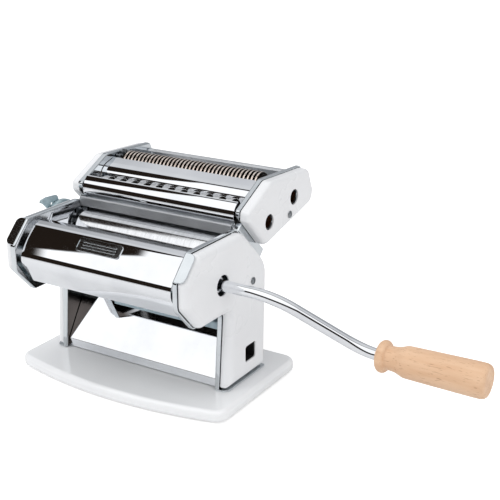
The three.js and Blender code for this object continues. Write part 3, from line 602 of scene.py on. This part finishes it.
def plaque():
    """A blank raised plaque on the hood, with a plain rim and three plain bars."""
    centre_x, *middle = PLAQUE_CENTRE
    half, high = PLAQUE_HALF
    up = (Vector(HOOD_PATH[2][:2]) - Vector(HOOD_PATH[3][:2])).normalized()
    out = Vector((-up.y, up.x))

    def slab(name, across, along, radius, low, level, shift=0.0):
        outline = [(-across, -along, radius), (across, -along, radius), (across, along, radius),
                   (-across, along, radius)]
        rings = [(rounded(inset(outline, distance)), lift)
                 for distance, lift in ((0.001, low), (0.001, level - 0.15), (0.15, level))]

        def on_hood(x, up_face, lift):
            return (x + centre_x, *(Vector(middle) + up * (up_face + shift) + out * lift))

        return loft(name, rings, on_hood)

    plate = slab("plaque", half, high, PLAQUE_CORNER, 0.2, 1.1)
    cut(plate, slab("tool", half - 1.2, high - 1.2, PLAQUE_CORNER - 1, 0.75, 3))
    dress(soften(plate, 0), "machine", FLANGE, "zinc", "hood_plaque")
    field = slab("plaque_field", half - 1.25, high - 1.25, PLAQUE_CORNER - 1, 0.25, 0.74)
    dress(soften(field, 0), "machine", SOCKET, "zinc")
    for index, shift in enumerate((2.5, 0, -2.5)):
        bar = slab(f"plaque_bar_{index + 1}", (half - 1.2) * 0.8, 0.55, 0.4, 0.7, 1.05, shift)
        dress(soften(bar, 0), "machine", FLANGE, "zinc")


def build_head():
    """The hood and its plaque, the rear cover, the chute and the two stays."""
    # The hood's inner faces take the painted shade.
    paint_inner_shade(sheet("hood", HOOD_PATH, HOOD_END, "machine", "front_hood"), (-52, 112))
    plaque()
    sheet("back_cover", REAR_COVER_PATH, SHEET_END, "machine", "rear_cover", SATIN)
    sheet("dough_chute", CHUTE_PATH, SHEET_END, "machine", "chute")
    radius, edge = 4, 0.3
    profile = [(-STAY_END, 0), (-STAY_END, radius - edge), (-STAY_END + edge, radius),
               (STAY_END - edge, radius), (STAY_END, radius - edge), (STAY_END, 0)]
    stays = (("stay_front", "front_stay", FRONT_STAY), ("stay_rear", "rear_stay", REAR_STAY))
    for name, node, centre in stays:
        dress(soften(lathe(name, profile, centre, 40), 0), "machine", ZINC, "zinc", node)


# ---------------------------------------------------------------- rollers of the head


def smooth_roller(name, axis, left, right, body, node, bore=0.0):
    """A polished roller on its shaft, with the crank's socket bored into a driven one."""
    r, shaft, (a, b) = ROLLER_RADIUS, SHAFT, ROLLER_SPAN
    edge, rounding, chamfer = 0.8, 0.23, 0.5
    profile = [
        (left, 0), (left, shaft - chamfer), (left + chamfer, shaft), (a, shaft), (a, r - edge),
        (a + rounding, r - rounding), (a + edge, r), (b - edge, r), (b - rounding, r - rounding),
        (b, r - edge), (b, shaft), (right - chamfer, shaft), (right, shaft - chamfer),
    ]
    profile += [(right, bore), (SOCKET_FLOOR, bore), (SOCKET_FLOOR, 0)] if bore else [(right, 0)]
    dress(soften(lathe(name, profile, axis, 96), 0), body, ROLLER, "roller_steel", node)


# ---------------------------------------------------------------- crank


def crank_points():
    """The rod's middle line, with how far into a bend each point is."""
    across, down = CRANK_THROW
    stops = ((66, 0), (140, 0), (203, 1), (GRIP_FROM, 1))
    corners = [Vector((x, across * share, down * share)) for x, share in stops]
    bend, last_bend, samples = 20.0, 11.4, 28
    line = [(corners[0], 0.0)]
    for index, reach in ((1, bend), (2, last_bend)):
        corner = corners[index]
        start = corner + (corners[index - 1] - corner).normalized() * bend
        end = corner + (corners[index + 1] - corner).normalized() * reach
        for k in range(samples + 1):
            t = k / samples
            point = start * (1 - t) ** 2 + corner * 2 * t * (1 - t) + end * t**2
            line.append((point, math.sin(math.pi * t)))
    return line


def build_crank():
    """The bent rod, a little flattened in its bends, the grip's pin and the turned grip."""
    across, down = CRANK_THROW
    side = Vector((1, 0, 0)).cross(Vector((0, across, down)).normalized())
    sides, flattened, spread = 40, 0.07, 0.04
    stations = crank_points() + [(Vector((GRIP_FROM - 0.3, across, down)), 0.0)]
    points = []
    for index, (point, bent) in enumerate(stations):
        before = stations[max(index - 1, 0)][0]
        after = stations[min(index + 1, len(stations) - 1)][0]
        along = (after - before).normalized()
        normal = side.cross(along).normalized()
        for k in range(sides):
            turn = 2 * math.pi * k / sides
            across_bend = math.cos(turn) * ROD * (1 - flattened * bent)
            beside = math.sin(turn) * ROD * (1 + spread * bent)
            points.append(point + normal * across_bend + side * beside + Vector((0, *FRONT_AXIS)))
    faces = [tuple(range(sides)), tuple(range(len(points) - sides, len(points)))]
    for ring in range(len(stations) - 1):
        for k in range(sides):
            a, b = ring * sides + k, ring * sides + (k + 1) % sides
            faces.append((a, b, b + sides, a + sides))
    rod = make("crank_arm", points, faces)
    dress(soften(rod, 0.4, 60), "crank", CHROME, "chrome", "crank_rod")
    centre = (FRONT_AXIS[0] + across, FRONT_AXIS[1] + down)
    pin_from, radius, edge = GRIP_FROM - 0.5, 3.8, 0.3
    pin = lathe("crank_pin", [(pin_from, 0), (pin_from, radius), (PIN_END - edge, radius),
                              (PIN_END, radius - edge), (PIN_END, 0)], centre, 40)
    dress(soften(pin, 0), "crank", CHROME, "chrome")
    bore, bore_end = 4.1, GRIP_FROM + 63
    profile = [(bore_end, 0), (bore_end, bore), (GRIP_FROM + 0.3, bore), (GRIP_FROM, bore + 0.3)]
    profile += [(GRIP_FROM + a, r) for a, r in smooth_profile(GRIP_PROFILE)]
    handle = lathe("handle", profile + [(GRIP_TO, 8), (GRIP_TO, 0)], centre, 96)
    dress(soften(handle, 0), "grip", BEECH, "beech", "crank_grip")


# ---------------------------------------------------------------- regulator


def build_regulator():
    """The dial outside the left cover, with its wing."""
    radius = DIAL_RADIUS
    profile = [
        (-91, 0), (-91, 2.9), (-97, 3), (-97, radius - 1.2), (-97.4, radius - 0.3), (-98, radius),
        (-100.4, radius), (-101, radius - 0.4), (-101.6, radius - 1.2), (-102, radius - 2.4),
        (-102, radius - 5), (-101.6, radius - 6), (-101.6, 9), (-102, 8), (-102, 0),
    ]
    dial = lathe("dial", profile, REAR_AXIS, 96)
    dress(soften(dial, 0), "regulator", ZINC, "zinc", "regulator_dial")
    y, z = REAR_AXIS
    wing = prism("wing", rounded([(y + a, z + b, r) for a, b, r in WING]), -104.3, -102.3)
    cut(wing, prism("tool", circle((y + WING_HOLE[0], z + WING_HOLE[1]), 1.6, 32), -110, -100))
    dress(soften(wing, 0.5, 60, 3), "regulator", ZINC, "zinc", "regulator_wing")


# ---------------------------------------------------------------- cutter


def ring_centres(pitch, width):
    """Where a roller's rings stand, for a pair of rollers whose rings pass between each other."""
    count = int((RING_ROOM - width) / pitch - 0.5) + 1
    first = -((count - 1) * pitch + pitch / 2) / 2
    return [first + index * pitch for index in range(count)]


def inlay(thing, look, centre, limit, low=-math.inf):
    """Gives another finish to the faces nearer than a limit to an axis along X."""
    thing.data.materials.append(look)
    for face in thing.data.polygons:
        x, y, z = face.center * 1000
        if math.hypot(y - centre[0], z - centre[1]) < limit and x > low:
            face.material_index = 1


def ringed(name, rings, look, offset, left, right, axis, body, node):
    """A cutting roller: a shaft with rings, and painted shade in the grooves between them."""
    pitch, width = rings
    outer, groove, shaft, edge, groove_limit = 11.5, 9.3, 4.5, 0.18, 10.6
    profile = [(left, 0), (left, shaft), (-RING_END, shaft), (-RING_END, groove)]
    for centre in ring_centres(pitch, width):
        a, b = centre + offset - width / 2, centre + offset + width / 2
        profile += [(a, groove), (a, outer - edge), (a + edge, outer), (b - edge, outer),
                    (b, outer - edge), (b, groove)]
    profile += [(RING_END, groove), (RING_END, shaft), (right, shaft), (right, 0)]
    roller = soften(lathe(name, profile, axis, 72), 0, sharp=35)
    dress(roller, body, look, "bronze", node)
    # The grooves between the rings take the painted shade.
    inlay(roller, GROOVE_SHADE, axis, groove_limit)


def crank_socket(kind, axis):
    """A driven cutter roller's socket for the crank, with a bronze lining at its mouth."""
    end, step, mouth, bore, outer, edge = 74, 78, 92.5, 4.8, 6.1, 0.3
    profile = [
        (step, SOCKET_BORE), (step, bore), (end, bore), (end, outer - edge), (end + edge, outer),
        (mouth - edge, outer), (mouth, outer - edge), (mouth, 5.3), (mouth - edge, SOCKET_BORE),
        (step, SOCKET_BORE),
    ]
    hub = lathe(f"{kind}_hub", profile, axis, 64)
    dress(soften(hub, 0), f"{kind}_drive", SOCKET, "socket_black", f"{kind}_drive_socket")
    inlay(hub, BRONZE, axis, 5.1, step + 0.5)


def build_cutter():
    """The cutter that slides on the sloping back: frames, covers, sheets and two pairs of rollers."""
    driven_bore, idle_bore, socket_hole = 6.4, 4.8, 6.8
    bores = [(WIDE_DRIVEN, driven_bore), (THIN_DRIVEN, driven_bore),
             (WIDE_IDLE, idle_bore), (THIN_IDLE, idle_bore)]
    for side, sign in (("right", 1), ("left", -1)):
        holder = tray(f"cutter_side_{side}", CUTTER_OUTLINE, sign)
        cut(holder, *[rod_tool(axis, radius, sign=sign) for axis, radius in bores])
        dress(soften(holder, 0), "cutter", FLANGE, "chrome", f"cutter_frame_{side}")
        cover = shell(f"cutter_cap_{side}", CUTTER_COVER_OUTLINE, CUTTER_COVER_OUTER, COVER_WALL,
                      CUTTER_COVER_EDGE, sign)
        tools = [rod_tool(CUTTER_SCREW, SCREW_HOLE, BEHIND_COVER, sign=sign)]
        if sign > 0:
            tools += [rod_tool(axis, socket_hole, BEHIND_COVER) for axis in (WIDE_DRIVEN, THIN_DRIVEN)]
        cut(cover, *tools)
        dress(soften(cover, 0.3, 60), "cutter", ENAMEL, "white_enamel", f"cutter_cover_{side}")
        screw(f"cutter_bolt_{side}", CUTTER_SCREW, CUTTER_COVER_OUTER, sign, "cutter", f"cutter_screw_{side}")
    turns = [math.radians(WRAP_FROM - WRAP_STEP * k) for k in range(WRAP_POINTS)]
    wrap = [(WIDE_IDLE[0] + WRAP_RADIUS * math.cos(turn), WIDE_IDLE[1] + WRAP_RADIUS * math.sin(turn))
            for turn in turns]
    sheet("cutter_wrap", wrap, FRONT_COVER_END, "cutter", "cutter_front_cover")
    sheet("cutter_middle", MID_COVER_PATH, SHEET_END, "cutter", "cutter_mid_cover")
    sheet("cutter_back", CUTTER_REAR_PATH, SHEET_END, "cutter", "cutter_rear_cover", SATIN)
    profile = [(-STAY_END, 0), (-STAY_END, 3), (STAY_END, 3), (STAY_END, 0)]
    stay = lathe("cutter_rod", profile, CUTTER_STAY, 32)
    dress(soften(stay, 0), "cutter", ZINC, "zinc", "cutter_stay")
    for kind, rings, look, driven, idle in (("thin", THIN_RINGS, RING_BRONZE, THIN_DRIVEN, THIN_IDLE),
                                            ("wide", WIDE_RINGS, RING_STEEL, WIDE_DRIVEN, WIDE_IDLE)):
        ringed(f"{kind}_roller_driven", rings, look, 0, -88, 78, driven, f"{kind}_drive",
               f"{kind}_drive_roller")
        ringed(f"{kind}_roller_idle", rings, look, rings[0] / 2, -88, 86, idle, f"{kind}_idle",
               f"{kind}_idle_roller")
        crank_socket(kind, driven)


# ---------------------------------------------------------------- assembly

build_base()
build_sides()
build_head()
smooth_roller("roller_front", FRONT_AXIS, -89, 90.5, "drive_roller", "drive_roller", SOCKET_BORE)
smooth_roller("roller_rear", REAR_AXIS, -88, 89, "rear_roller", "rear_roller")
build_crank()
build_regulator()
build_cutter()

# The CAD parts that stay are small and simple: they only take a worked finish.
KEPT = {
    "base_pad": RUBBER, "clamp_socket": BLACK, "front_bush_left": BRONZE, "front_bush_right": SOCKET,
    "rear_bush_left": BRONZE, "rear_bush_right": BRONZE, "feed_guide_left": CHROME,
    "feed_guide_right": CHROME, "scraper_front": ZINC, "scraper_rear": ZINC, "cutter_rail_left": FLANGE,
    "cutter_rail_right": FLANGE, "cutter_runner_left": FLANGE, "cutter_runner_right": FLANGE,
    "regulator_plate": ZINC, "regulator_hub": STEEL, "thin_comb": STEEL, "wide_comb": STEEL,
    "drive_gear": STEEL, "rear_gear": STEEL, "thin_drive_gear": STEEL, "thin_idle_gear": STEEL,
    "wide_drive_gear": STEEL, "wide_idle_gear": STEEL,
}
for node, look in KEPT.items():
    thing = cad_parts[node]
    thing.data.materials.clear()
    thing.data.materials.append(look)

# ---------------------------------------------------------------- stage, light and camera

FLOOR_HALF, FLOOR_DROP = 6.0, 0.0003
FLOOR_GLOW = 0.5  # only the camera sees it: it brings the floor near the photograph's white ground
LIGHT_TARGET, LIGHT_SIZE = (0, 0, 0.08), 0.8
EYE = (0.50867, -0.66597, 0.40951)
LOOK, LOOK_UP = (-0.4926, 0.8030, -0.3355), (-0.1754, 0.2860, 0.9421)

# The world. Its room is seen only in reflections, by the direction (x, y, z) in which they look.
ROOM_DARK, ROOM_BRIGHT, WHITE = (0.017, 0.012, 0.009), (1.25, 1.25, 1.25), (1.0, 1.0, 1.0)
GROUND, SOFT_LIGHT = (0.82, 0.82, 0.83), (0.85, 0.852, 0.858)
RIGHT_SIDE = 0.5  # how bright the room's right side is, beside the panel
PANEL_TOP = (-0.629, 0.633)  # x and z of a point on the front panel's tilted upper edge
PANEL_SLOPE, PANEL_LOW, PANEL_LEFT = 2.4, 0.395, -0.652
BACK_WALL = [(0.0, (0.48, 0.49, 0.51)), (0.35, (0.42, 0.43, 0.45)), (0.54, (0.30, 0.31, 0.32)),
             (0.64, (0.70, 0.71, 0.73)), (0.9, (0.80, 0.81, 0.82))]


def floor():
    """The plain pale floor."""
    half = FLOOR_HALF
    mesh = bpy.data.meshes.new("floor")
    mesh.from_pydata([(-half, -half, 0), (half, -half, 0), (half, half, 0), (-half, half, 0)], [],
                     [(0, 1, 2, 3)])
    thing = bpy.data.objects.new("floor", mesh)
    bpy.context.scene.collection.objects.link(thing)
    pale = finish("pale_floor", (232, 232, 232), (238, 238, 238), (0.55, 0.7), 0, tint=(3, 2, EVEN),
                  grain=(200, 2, EVEN), depth=0.005)
    tree = pale.node_tree
    shader = tree.nodes["Principled BSDF"]
    shader.inputs["Emission Color"].default_value = (*WHITE, 1)
    path = tree.nodes.new("ShaderNodeLightPath")
    glow = calculate(tree, "MULTIPLY", path.outputs["Is Camera Ray"], FLOOR_GLOW)
    tree.links.new(glow, shader.inputs["Emission Strength"])
    mesh.materials.append(pale)
    thing.location.z = -FLOOR_DROP


def area(name, place, power):
    """A large soft light that looks at the machine and isn't mirrored in it."""
    light = bpy.data.lights.new(name, "AREA")
    light.shape, light.size, light.energy = "DISK", LIGHT_SIZE, power
    thing = bpy.data.objects.new(name, light)
    thing.location = place
    thing.rotation_euler = (Vector(LIGHT_TARGET) - Vector(place)).to_track_quat("-Z", "Y").to_euler()
    thing.visible_glossy = False
    bpy.context.scene.collection.objects.link(thing)


def ramp_of(tree, value, stops):
    """A colour ramp through stops of place and colour."""
    ramp = tree.nodes.new("ShaderNodeValToRGB")
    elements = ramp.color_ramp.elements
    while len(elements) < len(stops):
        elements.new(0.5)
    for element, (place, colour) in zip(elements, stops):
        element.position = place
        element.color = (*colour, 1)
    tree.links.new(value, ramp.inputs["Fac"])
    return ramp.outputs["Color"]


def blend(tree, factor, a, b):
    """One colour going over to another; each is a plain colour or another node's output."""
    node = tree.nodes.new("ShaderNodeMix")
    node.data_type = "RGBA"
    node.clamp_result = False
    tree.links.new(factor, node.inputs["Factor"])
    for socket, value in (("A", a), ("B", b)):
        if isinstance(value, tuple):
            node.inputs[socket].default_value = (*value, 1)
        else:
            tree.links.new(value, node.inputs[socket])
    return node.outputs["Result"]


def both(tree, *factors):
    """The product of the factors, so 1 only where each of them is 1."""
    whole = factors[0]
    for factor in factors[1:]:
        whole = calculate(tree, "MULTIPLY", whole, factor)
    return whole


def studio():
    """White to the camera, even soft light, and for reflections a room with a dark side and a white panel."""
    world = bpy.data.worlds.new("studio")
    bpy.context.scene.world = world
    world.use_nodes = True
    tree = world.node_tree
    tree.nodes.clear()
    split = tree.nodes.new("ShaderNodeSeparateXYZ")
    link(tree, tree.nodes.new("ShaderNodeTexCoord"), "Generated", split, "Vector")
    x, y, z = (split.outputs[axis] for axis in "XYZ")

    # The front panel, with its tilted upper edge, its low edge and its left edge, and the right side.
    at_middle = PANEL_TOP[1] - PANEL_SLOPE * PANEL_TOP[0]
    under = calculate(tree, "SUBTRACT", calculate(tree, "MULTIPLY_ADD", x, PANEL_SLOPE, at_middle), z)
    panel = both(tree, above(tree, under, 0.0, 0.008), above(tree, z, PANEL_LOW, 0.015),
                 above(tree, x, PANEL_LEFT, 0.006))
    right_side = both(tree, above(tree, x, 0.1, 0.3), above(tree, z, 0.45, 0.2), RIGHT_SIDE)
    front = blend(tree, calculate(tree, "MAXIMUM", panel, right_side), ROOM_DARK, ROOM_BRIGHT)

    # The back wall, a dark line between front and back, and the ground.
    back = ramp_of(tree, z, BACK_WALL)
    line = both(tree, above(tree, y, -0.05, 0.02),
                above(tree, calculate(tree, "MULTIPLY", y, -1.0), -0.06, 0.02))
    room = blend(tree, line, blend(tree, above(tree, y, 0.0, 0.02), front, back), ROOM_DARK)
    seen = blend(tree, above(tree, z, -0.02, 0.02), GROUND, room)

    path = tree.nodes.new("ShaderNodeLightPath")
    plain = blend(tree, path.outputs["Is Glossy Ray"], SOFT_LIGHT, seen)
    final = blend(tree, path.outputs["Is Camera Ray"], plain, WHITE)
    light = tree.nodes.new("ShaderNodeBackground")
    tree.links.new(final, light.inputs["Color"])
    out = tree.nodes.new("ShaderNodeOutputWorld")
    link(tree, light, "Background", out, "Surface")


def camera():
    """At the photograph's viewpoint: azimuth 31.5 degrees from the front, 19.6 above the horizon."""
    eye = bpy.data.cameras.new("camera")
    eye.lens, eye.sensor_width, eye.clip_start = 74.3, 36, 0.01
    thing = bpy.data.objects.new("camera", eye)
    forward = Vector(LOOK)
    right = forward.cross(Vector(LOOK_UP)).normalized()
    up = right.cross(forward).normalized()
    turn = Matrix((right, up, -forward.normalized())).transposed()
    thing.matrix_world = Matrix.Translation(EYE) @ turn.to_4x4()
    bpy.context.scene.collection.objects.link(thing)
    bpy.context.scene.camera = thing


floor()
studio()
area("key", place=(-0.6, -0.7, 1.1), power=6)
area("fill", place=(1.1, -0.3, 0.6), power=2)
camera()
bpy.context.scene.view_settings.view_transform = "Standard"
